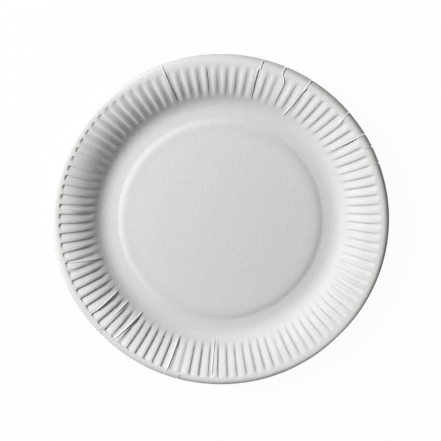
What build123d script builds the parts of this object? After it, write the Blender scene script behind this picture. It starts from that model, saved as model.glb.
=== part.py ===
from build123d import *
import os
from math import cos, radians, sin, tan

# A round paper plate, pressed in one piece from a disc of white board.
# The section runs from a raised centre panel down a step to the flat foot ring that the plate stands on,
# up a cove and a straight wall into a convex brow, and over a crown to a turned-down lip.
# Flutes gather the board round the brow: lands stay flush with the crown, and V channels sink between them,
# fading out down the wall and ending in a short ramp at the crown. The board has one thickness all over.
# Millimetres, +Z up, origin on the table under the plate's centre.

# Board and overall size
PLATE_DIAMETER = 230.0
BOARD = 0.45

# Centre panel and foot ring
PANEL_RISE = 1.15
PANEL_STEP_WIDTH = 5.0
FOOT_RING_WIDTH = 5.3

# Wall and rim
COVE_RADIUS = 14.0
WALL_ANGLE = 44.0
WALL_LENGTH = 3.5
BROW_RADIUS = 38.0
BROW_END_ANGLE = 6.0
ROLL_RADIUS = 3.0
ROLL_ANGLE = 80.0

# Flutes
FLUTE_COUNT = 100
FLUTE_DEPTH = 0.8
LAND_WIDTH = 3.0
HEAD_RUN = 2.4

# Pressed flats along each arc of the section
COVE_FLATS = 3
BROW_FLATS = 4
ROLL_FLATS = 5

# Middles of the section's arcs, as (radius, height), worked out from the rim inwards
wall = radians(WALL_ANGLE)
brow_end = radians(BROW_END_ANGLE)
lip = radians(ROLL_ANGLE)
crown_r = PLATE_DIAMETER / 2 - ROLL_RADIUS * sin(lip)
brow_r = crown_r + (BROW_RADIUS - ROLL_RADIUS) * sin(brow_end)
wall_foot_r = brow_r - BROW_RADIUS * sin(wall) - WALL_LENGTH * cos(wall)
cove_middle = (wall_foot_r - COVE_RADIUS * sin(wall), BOARD + COVE_RADIUS)
brow_middle = (brow_r, cove_middle[1] - (COVE_RADIUS + BROW_RADIUS) * cos(wall) + WALL_LENGTH * sin(wall))
roll_middle = (crown_r, brow_middle[1] + (BROW_RADIUS - ROLL_RADIUS) * cos(brow_end))
step_r = cove_middle[0] - FOOT_RING_WIDTH
panel_r = step_r - PANEL_STEP_WIDTH

# Turns round the plate, from the middle of a land to its edge and to the middle of a channel
land_edge = LAND_WIDTH / 2 / crown_r
channel = radians(180 / FLUTE_COUNT)
head = brow_end + HEAD_RUN / BROW_RADIUS


def arc_points(middle, radius, start, end, flats):
    """Points along an arc of the section, at angles outwards from straight up, as (radius, height)."""
    angles = [start + (end - start) * step / flats for step in range(flats + 1)]
    return [(middle[0] + radius * sin(angle), middle[1] + radius * cos(angle)) for angle in angles]


def facet(*corners):
    """A flat face between points of the section, each turned round the plate by its own angle.

    A pitch is flat across: its corners lie on the round, and what is between them lies on the chord.
    """
    places = []
    for (radius, height), turn in corners:
        across = radius * cos(channel)
        places.append(Vector(across, across * tan(turn), height))
    return Face(Wire.make_polygon(places))


def smooth_band(points, half_width):
    """Flats that follow the section's points, reaching as far on each side of the pitch's middle."""
    pairs = zip(points, points[1:])
    return [facet((a, -half_width), (a, half_width), (b, half_width), (b, -half_width)) for a, b in pairs]


def notched_flat(plain, notched):
    """A flat as wide as the pitch, with a corner at both edges of the land on its fluted end."""
    corners = [(notched, turn) for turn in (channel, land_edge, -land_edge, -channel)]
    return facet((plain, -channel), (plain, channel), *corners)


def flank(land, floor, side):
    """The slope from the edge of a land to the floor of a channel, on one side of the land."""
    edge, middle = side * land_edge, side * channel
    faces = []
    for low, high, low_floor, high_floor in zip(land, land[1:], floor, floor[1:]):
        faces.append(facet((low, edge), (low_floor, middle), (high_floor, middle)))
        faces.append(facet((low, edge), (high_floor, middle), (high, edge)))
    return faces


def pitch_faces(depth):
    """One pitch of the rim at a depth under the board's upper face: a land with half a channel on each side."""
    cove = arc_points(cove_middle, COVE_RADIUS + depth, radians(180), radians(180) - wall, COVE_FLATS)
    brow = arc_points(brow_middle, BROW_RADIUS - depth, -wall, -brow_end, BROW_FLATS)
    floor = arc_points(brow_middle, BROW_RADIUS - depth - FLUTE_DEPTH, -wall, -head, BROW_FLATS)
    roll = arc_points(roll_middle, ROLL_RADIUS - depth, -brow_end, lip, ROLL_FLATS)
    wall_foot, crown = cove[-1], brow[-1]
    faces = smooth_band(cove[:-1], channel) + [notched_flat(cove[-2], wall_foot)]
    faces += smooth_band([wall_foot] + brow, land_edge)
    faces += [notched_flat(roll[1], crown)] + smooth_band(roll[1:], channel)
    for side in (-1, 1):
        faces += [facet((wall_foot, side * land_edge), (wall_foot, side * channel), (floor[0], side * channel))]
        faces += [facet((wall_foot, side * land_edge), (floor[0], side * channel), (brow[0], side * land_edge))]
        faces += flank(brow, floor, side)
        faces += [facet((crown, side * land_edge), (floor[-1], side * channel), (crown, side * channel))]
    return faces


def lip_face():
    """The cut edge of the board along the lip, over one pitch."""
    upper = arc_points(roll_middle, ROLL_RADIUS, -brow_end, lip, ROLL_FLATS)[-1]
    lower = arc_points(roll_middle, ROLL_RADIUS - BOARD, -brow_end, lip, ROLL_FLATS)[-1]
    return smooth_band([upper, lower], channel)


def centre_faces(depth):
    """Panel, step and foot ring at a depth under the board's upper face."""
    panel_z = BOARD + PANEL_RISE - depth
    ring_z = BOARD - depth
    panel = Plane((0, 0, panel_z)) * Circle(panel_r)
    step = Face.revolve(Edge.make_line((panel_r, 0, panel_z), (step_r, 0, ring_z)), 360, Axis.Z)
    corners = RegularPolygon(cove_middle[0], FLUTE_COUNT)
    ring = Plane((0, 0, ring_z)) * (corners - Circle(step_r))
    return [panel.face(), step, ring.face()]


turns = [Rot(Z=(step + 0.5) * 360 / FLUTE_COUNT) for step in range(FLUTE_COUNT)]
one_pitch = pitch_faces(0) + pitch_faces(BOARD) + lip_face()
skin = [turn * face for turn in turns for face in one_pitch] + centre_faces(0) + centre_faces(BOARD)
plate = Solid(Shell(Face.sew_faces(skin)[0]))
plate.label = "plate"

os.makedirs("parts", exist_ok=True)
export_step(plate, "parts/plate.step", write_pcurves=False)
box = plate.bounding_box()
print(f"plate {box.size.X:.2f} x {box.size.Y:.2f} x {box.size.Z:.2f} mm, {plate.volume / 1000:.2f} cm3")
print(f"panel radius {panel_r:.2f}, foot ring {step_r:.2f} to {cove_middle[0]:.2f}, crown {crown_r:.2f}")
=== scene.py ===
# %% [markdown]
# A pressed paper plate
#
# A paper plate starts as a flat disc of white board. A heated die presses it in one stroke: the middle
# becomes a raised panel and the wall rises round it. A flat disc has too much board at its edge, so the
# spare length gathers into a ring of flutes, and where it could not gather evenly it folded into sharp
# tucks. This lesson makes the plate in the same order: draw the die's section, list the tucks, cut the
# disc, press it with Geometry Nodes, and then give it its board, its light and its camera.

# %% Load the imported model
from math import cos, pi, radians, sin

import bpy
import numpy as np
from mathutils import Matrix, Vector


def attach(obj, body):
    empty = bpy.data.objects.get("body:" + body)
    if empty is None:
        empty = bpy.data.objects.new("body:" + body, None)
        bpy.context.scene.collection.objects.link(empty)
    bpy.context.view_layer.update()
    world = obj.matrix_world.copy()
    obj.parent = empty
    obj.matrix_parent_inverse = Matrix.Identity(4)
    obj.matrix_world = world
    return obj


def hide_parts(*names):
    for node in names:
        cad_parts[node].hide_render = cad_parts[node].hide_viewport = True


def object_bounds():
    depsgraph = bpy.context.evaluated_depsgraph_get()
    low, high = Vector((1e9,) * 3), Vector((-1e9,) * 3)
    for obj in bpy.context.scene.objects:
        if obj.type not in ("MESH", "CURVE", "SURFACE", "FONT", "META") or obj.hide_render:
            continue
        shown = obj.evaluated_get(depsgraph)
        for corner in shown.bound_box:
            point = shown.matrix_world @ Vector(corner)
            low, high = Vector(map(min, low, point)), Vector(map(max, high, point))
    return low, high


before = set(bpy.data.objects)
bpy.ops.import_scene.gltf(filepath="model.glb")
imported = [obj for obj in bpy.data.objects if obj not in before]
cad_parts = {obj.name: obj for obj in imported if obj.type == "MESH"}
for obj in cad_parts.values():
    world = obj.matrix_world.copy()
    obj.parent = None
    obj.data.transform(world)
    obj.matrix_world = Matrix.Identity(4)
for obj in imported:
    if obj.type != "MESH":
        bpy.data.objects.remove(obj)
cad_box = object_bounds()
scene = bpy.context.scene
MM = 0.001
print("solid model, mm:", [round(side / MM, 2) for side in cad_box[1] - cad_box[0]])

# %% [markdown]
# The die's section
#
# Cut a plate in half and its edge is a short chain of arcs: a flat panel, a soft step down to the foot
# ring, a cove, a straight wall, a wide convex brow, and a small roll that turns the lip down. A curve drawn
# by hand would do, but arcs worked out from a few real sizes keep the plate's true form and can be changed
# later. Points are (radius, height) on the board's upper face, in millimetres. Angles are in degrees and
# turn outwards from straight up, so 0 is the top of an arc, 90 its outer side and 180 its bottom.

# %% Work out the section's sizes
BOARD = 0.45
PANEL_RISE = 1.15
STEP_SLOPE = 21.0
STEP_STEEPEST = 70.4
STEP_TOP_RADIUS = 12.0
COVE_START = 76.7
COVE_RADIUS = 14.0
WALL_ANGLE = 43.5
BROW_RADIUS = 38.0
BROW_END = 7.0
ROLL_RADIUS = 3.9
ROLL_ANGLE = 75.0

panel_height = BOARD + PANEL_RISE
step_foot_radius = PANEL_RISE / (1 - cos(radians(STEP_SLOPE))) - STEP_TOP_RADIUS
step_in = STEP_STEEPEST - STEP_TOP_RADIUS * sin(radians(STEP_SLOPE))
step_out = STEP_STEEPEST + step_foot_radius * sin(radians(STEP_SLOPE))
crown_radius = cad_box[1].x / MM - ROLL_RADIUS * sin(radians(ROLL_ANGLE))
roll_middle = (crown_radius, cad_box[1].z / MM - ROLL_RADIUS)
brow_gap = BROW_RADIUS - ROLL_RADIUS
brow_middle = (roll_middle[0] + brow_gap * sin(radians(BROW_END)),
               roll_middle[1] - brow_gap * cos(radians(BROW_END)))
print(f"panel to {step_in:.1f} mm, foot ring from {step_out:.1f} mm, crown at {crown_radius:.1f} mm")

# %% Chain the arcs from the panel to the lip
PANEL_MARGIN = 2.0
HEAD_ZONE = 6.0
STEP_TOP_POINTS = 3
STEP_FOOT_POINTS = 2
COVE_POINTS = 5
BROW_POINTS = 7
HEAD_POINTS = 8
ROLL_POINTS = 7


def arc(middle, radius, start, end, count):
    """A number of points along an arc from one angle to another, first point left out."""
    angles = np.radians(np.linspace(start, end, count + 1)[1:])
    return [(middle[0] + radius * sin(angle), middle[1] + radius * cos(angle)) for angle in angles]


step_top_middle = (step_in, panel_height - STEP_TOP_RADIUS)
step_foot_middle = (step_out, BOARD + step_foot_radius)
cove_middle = (COVE_START, BOARD + COVE_RADIUS)
head_foot = -BROW_END - HEAD_ZONE

section = [(step_in - PANEL_MARGIN, panel_height), (step_in, panel_height)]
section += arc(step_top_middle, STEP_TOP_RADIUS, 0, STEP_SLOPE, STEP_TOP_POINTS)
section += arc(step_foot_middle, step_foot_radius, 180 + STEP_SLOPE, 180, STEP_FOOT_POINTS)
section += [(COVE_START, BOARD)]
section += arc(cove_middle, COVE_RADIUS, 180, 180 - WALL_ANGLE, COVE_POINTS)
wall_foot = section[-1]
wall_top = arc(brow_middle, BROW_RADIUS, 0, -WALL_ANGLE, 1)[0]
section += [((wall_foot[0] + wall_top[0]) / 2, (wall_foot[1] + wall_top[1]) / 2), wall_top]
section += arc(brow_middle, BROW_RADIUS, -WALL_ANGLE, head_foot, BROW_POINTS)
section += arc(brow_middle, BROW_RADIUS, head_foot, -BROW_END, HEAD_POINTS)
section += arc(roll_middle, ROLL_RADIUS, -BROW_END, ROLL_ANGLE, ROLL_POINTS)

section = np.array(section[::-1])
inwards = np.concatenate([[0], np.cumsum(np.hypot(*np.diff(section, axis=0).T))])
print(f"section: {len(section)} points, {inwards[-1]:.1f} mm of board from the lip to the panel")

# %% [markdown]
# The tucks
#
# A tuck is a place where the board folded over itself instead of gathering: a narrow slit runs beside a low
# ridge of spare board, so it shows as a dark line, a bright one or both, by the way the ridge faces.
# A bump texture could fake it, but only geometry gives the small nick that each one leaves in the lip.
# The list follows the plate as it is. Each tuck is a path of points from the lip inwards: most are
# straight, and a few have a kink at the crown. A ridge is below 0 where it lies on the side of the lower
# turn. The two shapes run across a tuck: mm from its middle, and a share of its depth or height.

# %% List the tucks
TUCKS = (
    # points from the lip inwards: mm in from the lip, turn, depth of the slit, height of the ridge
    ((0, 22.2, 0.8, 0.2), (6, 22.6, 0.6, 0.0)),
    ((0, 28.3, 0.9, 0.3), (7, 28.7, 0.7, 0.0)),
    ((0, 33.0, 0.9, 0.9), (9, 33.3, 0.6, 0.5), (22, 33.8, 0.6, 0.3)),
    ((0, 42.0, 0.4, 0.9), (6, 41.6, 0.3, 0.6), (14, 41.0, 0.3, 0.4)),
    ((0, 58.2, 0.4, 0.7), (9, 58.4, 0.4, 0.7), (11.5, 58.6, 0.9, 0.1), (24, 59.1, 0.8, 0.1),
     (27, 59.4, 0.3, 0.5), (36, 60.0, 0.3, 0.5)),
    ((0, 67.9, 0.9, 0.8), (7, 67.8, 0.9, 0.6), (9.5, 66.7, 0.9, 0.3), (13, 65.8, 0.9, 0.0)),
    ((0, 75.4, 0.9, 0.8), (7.5, 75.6, 0.6, 0.5), (9, 76.4, 1.0, 0.4), (19, 76.4, 1.0, 0.4),
     (33, 76.0, 0.9, 0.3)),
    ((10, 94.7, 0.5, 0.0), (25, 94.5, 0.5, 0.0)),
    ((0, 109.3, 1.0, 0.2), (32, 108.7, 1.0, 0.2)),
    ((0, 137.6, 0.5, 0.0), (22, 137.4, 0.5, 0.0)),
    ((6, 173.6, 0.2, -0.8), (27, 174.1, 0.2, -0.8)),
    ((0, 192.9, 0.3, -0.8), (33, 196.7, 0.3, -0.8)),
    ((9, 215.2, 0.2, -0.7), (33, 214.1, 0.2, -0.7)),
    ((0, 221.9, 1.0, 0.6), (10, 222.0, 0.7, 0.6)),
    ((20, 221.0, 0.3, -0.6), (34, 221.0, 0.3, -0.6)),
    ((0, 226.9, 0.4, -0.7), (36, 229.7, 0.4, -0.7)),
    ((0, 250.0, 0.4, -0.6), (33, 250.6, 0.4, -0.6)),
    ((0, 254.8, 1.0, 0.4), (7, 255.5, 0.8, 0.4)),
    ((8, 266.8, 0.2, -0.6), (36, 267.3, 0.2, -0.6)),
    ((9, 269.2, 0.5, 0.0), (34, 269.2, 0.5, 0.0)),
    ((0, 277.5, 0.45, 0.0), (2, 277.5, 0.45, 0.0)),
    ((9, 294.0, 0.5, 0.0), (25, 293.1, 0.5, 0.0)),
    ((0, 305.9, 0.5, 0.0), (2, 306.0, 0.5, 0.0)),
    ((1, 342.0, 0.3, 0.0), (8, 342.3, 0.3, 0.0)),
)
SLIT_SHAPE = ((-0.75, 0.0), (-0.65, 1.0), (-0.15, 1.0), (0.0, 0.0))
RIDGE_SHAPE = ((-0.15, 0.0), (0.0, 1.0), (0.1, 1.0), (0.9, 0.0))
tuck_turns = [(path[0][1] + path[-1][1]) / 2 for path in TUCKS]
tuck_sides = [-1 if path[0][3] < 0 else 1 for path in TUCKS]
tuck_width = RIDGE_SHAPE[-1][0] - SLIT_SHAPE[0][0]
print(f"{len(TUCKS)} tucks, each {tuck_width:.2f} mm across")

# %% [markdown]
# The disc
#
# The press needs enough points to bend. Columns of points run from the lip inwards, twelve to each flute,
# and closest together where a flute's flank will be. Round each tuck the even columns give way to ten of
# its own, which carry its shape, and they lean with it where it runs at a slant. Both faces of the board
# use the same columns and rows, so the lip joins them and the disc is closed. A plain grid fine enough for
# the slits would need several times as many points.

# %% Set out the columns
FLUTE_COUNT = 100
FLANK_MIDDLE = 0.26
FLANK_COLUMNS = (-0.07, -0.035, 0.0, 0.035, 0.07)
TUCK_COLUMNS = (-0.85, -0.75, -0.65, -0.15, 0.0, 0.1, 0.25, 0.75, 0.9, 1.05)
TUCK_ROOM = 0.9

pitch = 360 / FLUTE_COUNT
one_flank = tuple(FLANK_MIDDLE + aside for aside in FLANK_COLUMNS)
across_pitch = (0.0,) + one_flank + (0.5,) + tuple(1 - share for share in reversed(one_flank))
columns = [(flute + share) * pitch for flute in range(FLUTE_COUNT) for share in across_pitch]
columns = [turn for turn in columns if min(abs(turn - middle) for middle in tuck_turns) > TUCK_ROOM]
degrees_per_mm = 360 / (2 * pi * crown_radius)
for middle, side in zip(tuck_turns, tuck_sides):
    columns += [middle + side * distance * degrees_per_mm for distance in TUCK_COLUMNS]
column_turns = np.array(sorted(columns))
print(f"{len(column_turns)} columns by {len(section)} rows")

# %% Lean the columns with the tucks, and find each point's share of a slit and a ridge
LEAN_REACH = 2.5
TUCK_FADE = 2.5

turns = np.repeat(column_turns[None, :], len(section), axis=0)
slit_depths = np.zeros_like(turns)
ridge_heights = np.zeros_like(turns)
for path, middle, side in zip(TUCKS, tuck_turns, tuck_sides):
    stations, path_turns, slits, ridges = zip(*path)
    sideways = np.interp(inwards, stations, path_turns) - middle
    reach = LEAN_REACH + max(path_turns) - min(path_turns)
    weight = np.clip((reach - np.abs(column_turns - middle)) / (reach - TUCK_ROOM), 0, 1)
    turns += np.outer(sideways, weight)
    opening = np.clip((inwards - stations[0]) / TUCK_FADE, 0, 1) if stations[0] else np.ones_like(inwards)
    closing = np.clip((stations[-1] - inwards) / TUCK_FADE, 0, 1)
    slit = np.interp(inwards, stations, slits) * opening * closing
    ridge = np.abs(np.interp(inwards, stations, ridges)) * opening * closing
    across_tuck = (column_turns - middle) * side / degrees_per_mm
    slit_depths += np.outer(slit, np.interp(across_tuck, *zip(*SLIT_SHAPE)))
    ridge_heights += np.outer(ridge, np.interp(across_tuck, *zip(*RIDGE_SHAPE)))
print(f"deepest slit {slit_depths.max():.2f} mm, highest ridge {ridge_heights.max():.2f} mm")

# %% [markdown]
# The stroke round the plate
#
# One press stroke is never even. The die came down a little to one side, so the flutes lean: on one half of
# the plate their steep flank is on the left, on the other half on the right, and where the lean changes
# over they are even. They also bite deeper on one side than on the other, and where the disc lay off the
# middle, the lip was left shorter and turns down less. Noise could make a rim uneven too, but not in the
# same places. Eight places round the rim say how the stroke was there, and the rest lies between them.

# %% Say how the stroke was round the plate
STROKE = (
    # turn, depth, lean, flank as a share of the pitch, length of the head and trim of the lip in mm
    (0, 1.7, -0.8, 0.10, 4.5, 0.9),
    (45, 1.05, -0.8, 0.14, 3.0, 0.0),
    (90, 0.7, 0.0, 0.20, 9.0, 1.0),
    (135, 1.1, 0.7, 0.16, 1.6, 1.5),
    (180, 1.5, 0.6, 0.08, 1.4, 0.8),
    (225, 1.5, 1.0, 0.12, 1.0, 2.8),
    (270, 1.05, 1.0, 0.14, 1.8, 0.3),
    (315, 1.0, 0.6, 0.12, 7.0, 2.9),
)
STROKE_NAMES = ("depth", "lean", "flank", "head", "trim")
TRIM_REACH = 8.0

stroke_turns, *stroke_values = zip(*STROKE)
stroke_marks = {}
for name, values in zip(STROKE_NAMES, stroke_values):
    stroke_marks[name] = np.interp(turns, stroke_turns, values, period=360)
for name, values in stroke_marks.items():
    print(f"stroke: {name} {values.min():.2g} to {values.max():.2g}")
stroke_marks["head"] *= MM
trim = stroke_marks.pop("trim") * np.clip(1 - inwards / TRIM_REACH, 0, 1)[:, None]
places = inwards[:, None] + trim

# %% Keep the ridges of the tucks under the crown and inside the rim
headroom = (section.max(axis=0) - section).min(axis=1)
depths = slit_depths - np.minimum(ridge_heights, np.interp(places, inwards, headroom))
print(f"highest ridge as pressed {-depths.min():.2f} mm")

# %% Cut the disc
row_count, column_count = turns.shape
angles = np.radians(turns)
flat_radius = (section[-1][0] + inwards[-1] - inwards)[:, None] * MM
flat = np.stack([flat_radius * np.cos(angles), flat_radius * np.sin(angles), np.zeros_like(angles)], -1)
face_points = flat.reshape(-1, 3).tolist()
grid = np.arange(row_count * column_count).reshape(row_count, column_count)
beside = np.roll(grid, -1, axis=1)
under = row_count * column_count

upper = np.stack([grid[:-1], beside[:-1], beside[1:], grid[1:]], -1).reshape(-1, 4)
lower = upper[:, ::-1] + under
lip = np.stack([grid[0] + under, beside[0] + under, beside[0], grid[0]], -1)
panels = [grid[-1].tolist(), (grid[-1][::-1] + under).tolist()]
faces = upper.tolist() + lower.tolist() + lip.tolist() + panels

disc = bpy.data.meshes.new("pressed_plate")
disc.from_pydata(face_points + face_points, [], faces)
# Both faces are shaded smooth, and the cut edge along the lip stays flat.
smooth = np.ones(len(faces), bool)
smooth[2 * len(upper):2 * len(upper) + len(lip)] = False
disc.polygons.foreach_set("use_smooth", smooth)
print(f"disc: {len(disc.vertices)} points, {len(disc.polygons)} faces")

# %% Mark each point of the disc for the press
marks = {"turn": angles, "inwards": places * MM, "tuck": depths * MM, **stroke_marks}
point_marks = {name: np.tile(values.ravel(), 2) for name, values in marks.items()}
point_marks["underside"] = np.repeat([0.0, 1.0], under)
for name, values in point_marks.items():
    attribute = disc.attributes.new(name, "FLOAT", "POINT")
    attribute.data.foreach_set("value", values)
print("marks:", list(point_marks))

# %% [markdown]
# The press
#
# The whole rim follows one rule, so Geometry Nodes press it. Each point asks the die's section where it
# lies at its distance in from the lip, sinks below that line by its share of a flute, of a tuck and of the
# board's thickness, and is then turned to its place round the plate. Modelling one flute and copying it
# round would leave a hundred seams to join, while a rule over one closed disc leaves none.

# %% Draw the section as a curve for the press to read
section_curve = bpy.data.curves.new("die_section", "CURVE")
section_curve.dimensions = "3D"
spline = section_curve.splines.new("POLY")
spline.points.add(len(section) - 1)
for point, (radius, height) in zip(spline.points, section):
    point.co = (radius * MM, 0, height * MM, 1)
die = bpy.data.objects.new("die_section", section_curve)
scene.collection.objects.link(die)
print(f"die section: {len(spline.points)} points")

# %% Name the press's inputs
paperboard = bpy.data.materials.new("pressed_white_paperboard")
press_inputs = {
    "Die section": ("NodeSocketObject", die),
    "Board": ("NodeSocketFloat", BOARD * MM),
    "Flute count": ("NodeSocketFloat", FLUTE_COUNT),
    "Flute depth": ("NodeSocketFloat", 0.7 * MM),
    "Depth spread": ("NodeSocketFloat", 0.12),
    "Head start": ("NodeSocketFloat", 6.6 * MM),
    "Head rounding": ("NodeSocketFloat", 8.0 * MM),
    "Gentle foot": ("NodeSocketFloat", -0.12),
    "Gentle top": ("NodeSocketFloat", 0.46),
    "Toe start": ("NodeSocketFloat", 26.0 * MM),
    "Toe end": ("NodeSocketFloat", 34.0 * MM),
    "Ripple": ("NodeSocketFloat", 0.18 * MM),
    "Ripple size": ("NodeSocketFloat", 16.0 * MM),
    "Seed": ("NodeSocketInt", 7),
    "Material": ("NodeSocketMaterial", paperboard),
}
press = bpy.data.node_groups.new("plate_press", "GeometryNodeTree")
press.interface.new_socket("Disc", in_out="INPUT", socket_type="NodeSocketGeometry")
press.interface.new_socket("Plate", in_out="OUTPUT", socket_type="NodeSocketGeometry")
identifiers = {}
for name, (kind, value) in press_inputs.items():
    identifiers[name] = press.interface.new_socket(name, in_out="INPUT", socket_type=kind).identifier
print(f"press: {len(press_inputs)} inputs")

# %% Read the inputs and the marks, with one helper for every node
MATH = "ShaderNodeMath"
VECTOR_MATH = "ShaderNodeVectorMath"
MAP_RANGE = "ShaderNodeMapRange"
MIX = "ShaderNodeMix"


def add_node(tree, kind, settings=None, inputs=None):
    """Add a node with its settings, and fill its inputs with values, sockets or nodes.

    A node that is given as an input stands for its first output.
    """
    node = tree.nodes.new(kind)
    for name, value in (settings or {}).items():
        setattr(node, name, value)
    for name, value in (inputs or {}).items():
        if isinstance(value, bpy.types.Node):
            tree.links.new(value.outputs[0], node.inputs[name])
        elif isinstance(value, bpy.types.NodeSocket):
            tree.links.new(value, node.inputs[name])
        else:
            node.inputs[name].default_value = value
    return node


entry = add_node(press, "NodeGroupInput")
given = {socket.name: socket for socket in entry.outputs}
mark = {}
for name in point_marks:
    mark[name] = add_node(press, "GeometryNodeInputNamedAttribute", {"data_type": "FLOAT"}, {"Name": name})
print(f"press: {len(mark)} marks read from the disc")

# %% Find each point's place on the die
drawn = add_node(press, "GeometryNodeObjectInfo", inputs={"Object": given["Die section"]})
place = add_node(press, "GeometryNodeSampleCurve", {"mode": "LENGTH", "use_all_curves": True},
                 {"Curves": drawn.outputs["Geometry"], "Length": mark["inwards"]})
upright = add_node(press, VECTOR_MATH, {"operation": "CROSS_PRODUCT"},
                   {0: (0, 1, 0), 1: place.outputs["Tangent"]})
print(f"press: {len(press.nodes)} nodes with the die")

# %% Find each point's place across its flute, from -0.5 to 0.5, and turn it the way the flute leans
round_count = add_node(press, MATH, {"operation": "MULTIPLY"}, {0: mark["turn"], 1: given["Flute count"]})
flute_turn = add_node(press, MATH, {"operation": "DIVIDE"}, {0: round_count, 1: 2 * pi})
flute_number = add_node(press, MATH, {"operation": "ROUND"}, {0: flute_turn})
aside = add_node(press, MATH, {"operation": "SUBTRACT"}, {0: flute_turn, 1: flute_number})
leans_back = add_node(press, MATH, {"operation": "LESS_THAN"}, {0: mark["lean"], 1: 0.0})
lean_way = add_node(press, MATH, {"operation": "MULTIPLY_ADD"}, {0: leans_back, 1: -2.0, 2: 1.0})
leaning = add_node(press, MATH, {"operation": "MULTIPLY"}, {0: aside, 1: lean_way})
print(f"press: {len(press.nodes)} nodes with the places across")

# %% Shape a flute across: a steep flank on one side, and one that gets gentler with the lean on the other
# A Mix node has inputs for each kind of data, and these are the places of its two numbers.
MIX_FIRST = 2
MIX_SECOND = 3

flank_foot = add_node(press, MATH, {"operation": "MULTIPLY_ADD"},
                      {0: mark["flank"], 1: -0.5, 2: FLANK_MIDDLE})
flank_top = add_node(press, MATH, {"operation": "MULTIPLY_ADD"},
                     {0: mark["flank"], 1: 0.5, 2: FLANK_MIDDLE})
steep_side = add_node(press, MATH, {"operation": "MULTIPLY"}, {0: leaning, 1: -1.0})
steep = add_node(press, MAP_RANGE, None,
                 {"Value": steep_side, "From Min": flank_foot, "From Max": flank_top,
                  "To Min": 1.0, "To Max": 0.0})
lean = add_node(press, MATH, {"operation": "ABSOLUTE"}, {0: mark["lean"]})
gentle_foot = add_node(press, MIX, {"data_type": "FLOAT"},
                       {"Factor": lean, MIX_FIRST: flank_foot, MIX_SECOND: given["Gentle foot"]})
gentle_top = add_node(press, MIX, {"data_type": "FLOAT"},
                      {"Factor": lean, MIX_FIRST: flank_top, MIX_SECOND: given["Gentle top"]})
gentle = add_node(press, MAP_RANGE, None,
                  {"Value": leaning, "From Min": gentle_foot, "From Max": gentle_top,
                   "To Min": 1.0, "To Max": 0.0})
channel = add_node(press, MATH, {"operation": "MINIMUM"}, {0: steep, 1: gentle})
print(f"press: {len(press.nodes)} nodes with the flanks")

# %% Shape a flute along: a rounded head at the crown, and a toe that fades out down the wall
aside_squared = add_node(press, MATH, {"operation": "MULTIPLY"}, {0: aside, 1: aside})
rounding = add_node(press, MATH, {"operation": "MULTIPLY"}, {0: aside_squared, 1: given["Head rounding"]})
from_head = add_node(press, MATH, {"operation": "SUBTRACT"}, {0: mark["inwards"], 1: rounding})
head_end = add_node(press, MATH, {"operation": "ADD"}, {0: given["Head start"], 1: mark["head"]})
head = add_node(press, MAP_RANGE, {"interpolation_type": "SMOOTHSTEP"},
                {"Value": from_head, "From Min": given["Head start"], "From Max": head_end})
toe = add_node(press, MAP_RANGE, {"interpolation_type": "SMOOTHSTEP"},
               {"Value": mark["inwards"], "From Min": given["Toe start"], "From Max": given["Toe end"],
                "To Min": 1.0, "To Max": 0.0})
along = add_node(press, MATH, {"operation": "MULTIPLY"}, {0: head, 1: toe})
flute_shape = add_node(press, MATH, {"operation": "MULTIPLY"}, {0: along, 1: channel})
print(f"press: {len(press.nodes)} nodes with the heads and toes")

# %% Let the flutes differ a little in depth
# A Random Value node has sockets for each kind of data too, and these are the places of its numbers.
RANDOM_LEAST = 2
RANDOM_MOST = 3
RANDOM_RESULT = 1

wrapped = add_node(press, MATH, {"operation": "MODULO"}, {0: flute_number, 1: given["Flute count"]})
shallowest = add_node(press, MATH, {"operation": "SUBTRACT"}, {0: 1.0, 1: given["Depth spread"]})
deepest = add_node(press, MATH, {"operation": "ADD"}, {0: 1.0, 1: given["Depth spread"]})
spread = add_node(press, "FunctionNodeRandomValue", {"data_type": "FLOAT"},
                  {RANDOM_LEAST: shallowest, RANDOM_MOST: deepest, "ID": wrapped, "Seed": given["Seed"]})
own_depth = add_node(press, MATH, {"operation": "MULTIPLY"},
                     {0: given["Flute depth"], 1: spread.outputs[RANDOM_RESULT]})
bitten = add_node(press, MATH, {"operation": "MULTIPLY"}, {0: own_depth, 1: mark["depth"]})
flute = add_node(press, MATH, {"operation": "MULTIPLY"}, {0: bitten, 1: flute_shape})
print(f"press: {len(press.nodes)} nodes with the depths")

# %% Let the board of the rim ripple
RIPPLE_DETAIL = 1.0

ripple_scale = add_node(press, MATH, {"operation": "DIVIDE"}, {0: 1.0, 1: given["Ripple size"]})
where = add_node(press, "GeometryNodeInputPosition")
waves = add_node(press, "ShaderNodeTexNoise", {"noise_dimensions": "3D"},
                 {"Vector": where, "Scale": ripple_scale, "Detail": RIPPLE_DETAIL})
ripple_height = add_node(press, MAP_RANGE, {"interpolation_type": "SMOOTHSTEP"},
                         {"Value": mark["inwards"], "From Min": given["Toe start"],
                          "From Max": given["Toe end"], "To Min": given["Ripple"], "To Max": 0.0})
ripple = add_node(press, MATH, {"operation": "MULTIPLY"}, {0: waves, 1: ripple_height})
print(f"press: {len(press.nodes)} nodes with the ripple")

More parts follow.
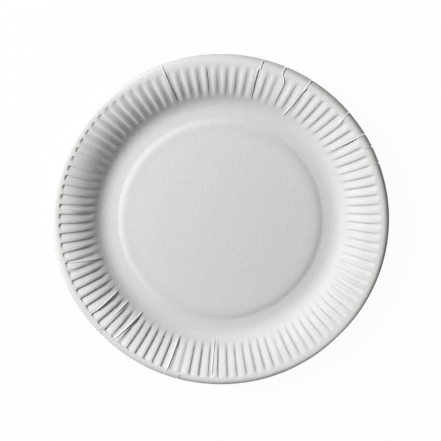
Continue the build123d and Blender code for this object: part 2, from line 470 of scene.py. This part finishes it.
# %% Sink each point, turn it to its place, and close the tree
sink = add_node(press, MATH, {"operation": "MULTIPLY"}, {0: mark["underside"], 1: given["Board"]})
for cause in (flute, ripple, mark["tuck"]):
    sink = add_node(press, MATH, {"operation": "ADD"}, {0: sink, 1: cause})
down = add_node(press, MATH, {"operation": "MULTIPLY"}, {0: sink, 1: -1.0})
shift = add_node(press, VECTOR_MATH, {"operation": "SCALE"}, {0: upright, "Scale": down})
sunk = add_node(press, VECTOR_MATH, {"operation": "ADD"}, {0: place.outputs["Position"], 1: shift})
turned = add_node(press, "ShaderNodeVectorRotate", {"rotation_type": "Z_AXIS"},
                  {"Vector": sunk, "Angle": mark["turn"]})
pressed = add_node(press, "GeometryNodeSetPosition", inputs={"Geometry": given["Disc"], "Position": turned})
real = add_node(press, "GeometryNodeRealizeInstances", inputs={"Geometry": pressed})
dressed = add_node(press, "GeometryNodeSetMaterial",
                   inputs={"Geometry": real, "Material": given["Material"]})
add_node(press, "NodeGroupOutput", inputs={"Plate": dressed})
print(f"press: {len(press.nodes)} nodes, {len(press.links)} links")

# %% Press the disc and keep the plain mesh
plate = bpy.data.objects.new("pressed_plate", disc)
scene.collection.objects.link(plate)
modifier = plate.modifiers.new("press", "NODES")
modifier.node_group = press
for name, (kind, value) in press_inputs.items():
    modifier[identifiers[name]] = value
evaluated = plate.evaluated_get(bpy.context.evaluated_depsgraph_get())
pressed_mesh = bpy.data.meshes.new_from_object(evaluated)
plate.modifiers.remove(modifier)
plate.data = pressed_mesh
bpy.data.meshes.remove(disc)
bpy.data.objects.remove(die)
bpy.data.curves.remove(section_curve)
pressed_mesh.name = "pressed_plate"
triangles = sum(len(face.vertices) - 2 for face in pressed_mesh.polygons)
print(f"pressed plate: {triangles} triangles, mm:", [round(side / MM, 2) for side in plate.dimensions])

# %% [markdown]
# Pressed white paperboard
#
# Plate board is bleached pulp, rolled smooth and pressed hot with no varnish. To the eye that is a matte
# neutral white with a very faint cloudiness where fibres lie thicker, and a fine felt grain that only shows
# in low light. A ramp by the distance from the middle paints shade into the well and onto the lip's edge,
# and painted light onto the rim. A flat white would read as plastic, so two noises give the cloud and the
# grain. All are set out on Object coordinates from real sizes.

# %% Cloud the board
CLOUD_DARK = "#ECECEA"
CLOUD_LIGHT = "#F5F5F3"
CLOUD_SIZE = 5.0
CLOUD_DETAIL = 4.0
CLOUD_ROUGHNESS = 0.6
# The places of the two colours that a Mix node takes, and of the one that it gives.
COLOUR_FIRST = 6
COLOUR_SECOND = 7
COLOUR_RESULT = 2


def linear(hex_colour):
    """An sRGB hex colour as linear red, green, blue and alpha."""
    channels = [int(hex_colour[digit:digit + 2], 16) / 255 for digit in (1, 3, 5)]
    return tuple(c / 12.92 if c <= 0.04045 else ((c + 0.055) / 1.055) ** 2.4 for c in channels) + (1.0,)


def empty_tree(owner):
    """Clear the node tree of a material or a world and return it."""
    owner.use_nodes = True
    owner.node_tree.nodes.clear()
    return owner.node_tree


board_tree = empty_tree(paperboard)
object_place = add_node(board_tree, "ShaderNodeTexCoord").outputs["Object"]
cloud = add_node(board_tree, "ShaderNodeTexNoise", None,
                 {"Vector": object_place, "Scale": 1 / (CLOUD_SIZE * MM), "Detail": CLOUD_DETAIL,
                  "Roughness": CLOUD_ROUGHNESS})
cloud_colour = add_node(board_tree, MIX, {"data_type": "RGBA"},
                        {"Factor": cloud.outputs["Fac"], COLOUR_FIRST: linear(CLOUD_DARK),
                         COLOUR_SECOND: linear(CLOUD_LIGHT)})
print("board:", CLOUD_DARK, "to", CLOUD_LIGHT)

# %% Paint shade into the well and light onto the rim, by the distance from the middle
# Painted shade darkens the well, most at the step and the foot ring, painted light brightens the rim up to
# its crown, and painted shade dims the lip beyond it.
PAINTED_SHADE_AND_LIGHT_BY_RADIUS = (
    # radius in mm, tone
    (60.0, "#F2F2F2"),
    (66.0, "#EDEDED"),
    (76.0, "#EFEFEF"),
    (90.0, "#F0F0F0"),
    (104.0, "#F9F9F9"),
    (110.5, "#FFFFFF"),
    (113.5, "#EBEBEB"),
)
TONE_REACH = 120.0

flat_place = add_node(board_tree, VECTOR_MATH, {"operation": "MULTIPLY"}, {0: object_place, 1: (1, 1, 0)})
from_middle = add_node(board_tree, VECTOR_MATH, {"operation": "LENGTH"}, {0: flat_place})
tone_place = add_node(board_tree, MATH, {"operation": "DIVIDE"},
                      {0: from_middle.outputs["Value"], 1: TONE_REACH * MM})
tone = add_node(board_tree, "ShaderNodeValToRGB", None, {"Fac": tone_place})
stops = tone.color_ramp.elements
for number, (distance, colour) in enumerate(PAINTED_SHADE_AND_LIGHT_BY_RADIUS):
    stop = stops[number] if number < len(stops) else stops.new(1.0)
    stop.position = distance / TONE_REACH
    stop.color = linear(colour)
# The painted shade and light are multiplied into the board's cloud.
board_colour = add_node(board_tree, MIX, {"data_type": "RGBA", "blend_type": "MULTIPLY"},
                        {"Factor": 1.0, COLOUR_FIRST: cloud_colour.outputs[COLOUR_RESULT],
                         COLOUR_SECOND: tone.outputs["Color"]})
print(f"board: {len(stops)} tones from {PAINTED_SHADE_AND_LIGHT_BY_RADIUS[0][0]} to {PAINTED_SHADE_AND_LIGHT_BY_RADIUS[-1][0]} mm")

# %% Felt the board and finish it
# Felt grain is about 0.3 mm on the real board, drawn coarser and deeper so that it shows from a step away.
GRAIN_SIZE = 1.2
GRAIN_HEIGHT = 0.2
GRAIN_DETAIL = 3.0
GRAIN_ROUGHNESS = 0.55
BOARD_ROUGHNESS = 0.7
BOARD_IOR = 1.47
BOARD_SPECULAR = 0.2

grain = add_node(board_tree, "ShaderNodeTexNoise", None,
                 {"Vector": object_place, "Scale": 1 / (GRAIN_SIZE * MM), "Detail": GRAIN_DETAIL,
                  "Roughness": GRAIN_ROUGHNESS})
grain_bump = add_node(board_tree, "ShaderNodeBump", None,
                      {"Height": grain.outputs["Fac"], "Distance": GRAIN_HEIGHT * MM, "Strength": 1.0})
surface = add_node(board_tree, "ShaderNodeBsdfPrincipled", None,
                   {"Base Color": board_colour.outputs[COLOUR_RESULT], "Roughness": BOARD_ROUGHNESS,
                    "IOR": BOARD_IOR, "Specular IOR Level": BOARD_SPECULAR, "Normal": grain_bump})
add_node(board_tree, "ShaderNodeOutputMaterial", None, {"Surface": surface})
print(f"board: {len(board_tree.nodes)} nodes, grain {GRAIN_SIZE} mm")

# %% [markdown]
# The plate takes the place of the solid
#
# The plate is one piece on one body. It stands for the solid of the same name, so the solid is hidden here
# and still carries weight and contact in the simulation.

# %% Put the plate on its body
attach(plate, "root")
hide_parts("plate")

# %% [markdown]
# The floor and the light
#
# The plate lies on a plain white sweep under one soft lamp. To the camera the sweep is almost pure white,
# and a small part of its real shading is kept, so that the plate still casts its shadow. To every other ray
# it is an ordinary pale surface that throws a little light back up under the lip.

# %% Lay the floor
FLOOR_SIDE = 3.0
FLOOR_GAP = 0.1
FLOOR_COLOUR = "#E6E6E6"
FLOOR_WHITENESS = 0.965
WHITE = "#FFFFFF"


def shown_rays(tree):
    """A node that is 1 for rays that show what they meet: seen, mirrored or through something clear."""
    ray = add_node(tree, "ShaderNodeLightPath").outputs
    seen = add_node(tree, MATH, {"operation": "MAXIMUM"},
                    {0: ray["Is Camera Ray"], 1: ray["Is Glossy Ray"]})
    return add_node(tree, MATH, {"operation": "MAXIMUM"}, {0: seen, 1: ray["Is Transmission Ray"]})


half = FLOOR_SIDE / 2
drop = -FLOOR_GAP * MM
corners = [(-half, -half, drop), (half, -half, drop), (half, half, drop), (-half, half, drop)]
floor_mesh = bpy.data.meshes.new("floor")
floor_mesh.from_pydata(corners, [], [(0, 1, 2, 3)])
floor = bpy.data.objects.new("floor", floor_mesh)
scene.collection.objects.link(floor)

sweep = bpy.data.materials.new("white_paper_sweep")
sweep_tree = empty_tree(sweep)
whiteness = add_node(sweep_tree, MATH, {"operation": "MULTIPLY"},
                     {0: shown_rays(sweep_tree), 1: FLOOR_WHITENESS})
matte = add_node(sweep_tree, "ShaderNodeBsdfDiffuse", None, {"Color": linear(FLOOR_COLOUR)})
white = add_node(sweep_tree, "ShaderNodeEmission", None, {"Color": linear(WHITE), "Strength": 1.0})
floor_mix = add_node(sweep_tree, "ShaderNodeMixShader", None, {0: whiteness, 1: matte, 2: white})
add_node(sweep_tree, "ShaderNodeOutputMaterial", None, {"Surface": floor_mix})
floor_mesh.materials.append(sweep)
print(f"floor: {FLOOR_SIDE} m square")

# %% Fill the room with pale light
AMBIENT = 0.07

world = bpy.data.worlds.new("pale_room")
scene.world = world
room_tree = empty_tree(world)
room = add_node(room_tree, "ShaderNodeBackground", None, {"Color": linear(WHITE), "Strength": AMBIENT})
backdrop = add_node(room_tree, "ShaderNodeBackground", None, {"Color": linear(WHITE), "Strength": 1.0})
room_mix = add_node(room_tree, "ShaderNodeMixShader", None,
                    {0: shown_rays(room_tree), 1: room, 2: backdrop})
add_node(room_tree, "ShaderNodeOutputWorld", None, {"Surface": room_mix})
print(f"room light {AMBIENT}")

# %% Hang the lamp
LAMP_TURN = 155.0
LAMP_RISE = 41.0
LAMP_DISTANCE = 1.15
LAMP_SIDE = 0.29
LAMP_POWER = 14.8


def direction(turn, rise):
    """A unit vector at a turn from +X round +Z and a rise above the floor, in degrees."""
    flat_part = cos(radians(rise))
    return Vector((flat_part * cos(radians(turn)), flat_part * sin(radians(turn)), sin(radians(rise))))


lamp = bpy.data.lights.new("soft_lamp", "AREA")
lamp.shape = "DISK"
lamp.size = LAMP_SIDE
lamp.energy = LAMP_POWER
lamp_object = bpy.data.objects.new("soft_lamp", lamp)
scene.collection.objects.link(lamp_object)
lamp_object.location = LAMP_DISTANCE * direction(LAMP_TURN, LAMP_RISE)
lamp_object.rotation_euler = (-lamp_object.location).to_track_quat("-Z", "Y").to_euler()
print(f"lamp at {LAMP_DISTANCE} m, {LAMP_POWER} W")

# %% [markdown]
# The camera
#
# The photograph looks almost straight down, leaning a little towards the top of the picture, through a long
# lens. The plate's +X is to the right of the picture and its +Y is up.

# %% Aim the camera
CAMERA_TURN = 85.7
CAMERA_RISE = 78.2
CAMERA_ROLL = 0.13
CAMERA_DISTANCE = 0.569
LENS = 66.55
SENSOR_WIDTH = 36.0
IMAGE_SIDE = 441
AIM_PIXEL = (220.2, 221.5)

camera = bpy.data.cameras.new("camera")
camera.sensor_width = SENSOR_WIDTH
camera.lens = LENS
middle_pixel = IMAGE_SIDE / 2
camera.shift_x = (middle_pixel - AIM_PIXEL[0]) / IMAGE_SIDE
camera.shift_y = (AIM_PIXEL[1] - middle_pixel) / IMAGE_SIDE
camera_object = bpy.data.objects.new("camera", camera)
scene.collection.objects.link(camera_object)
backwards = direction(CAMERA_TURN, CAMERA_RISE)
right = direction(90 - CAMERA_ROLL, 0).cross(backwards).normalized()
upwards = backwards.cross(right)
camera_object.matrix_world = Matrix.Translation(CAMERA_DISTANCE * backwards) @ Matrix(
    (right, upwards, backwards)).transposed().to_4x4()
scene.camera = camera_object
scene.view_settings.view_transform = "Standard"
print(f"camera {CAMERA_DISTANCE} m away, lens {LENS} mm")
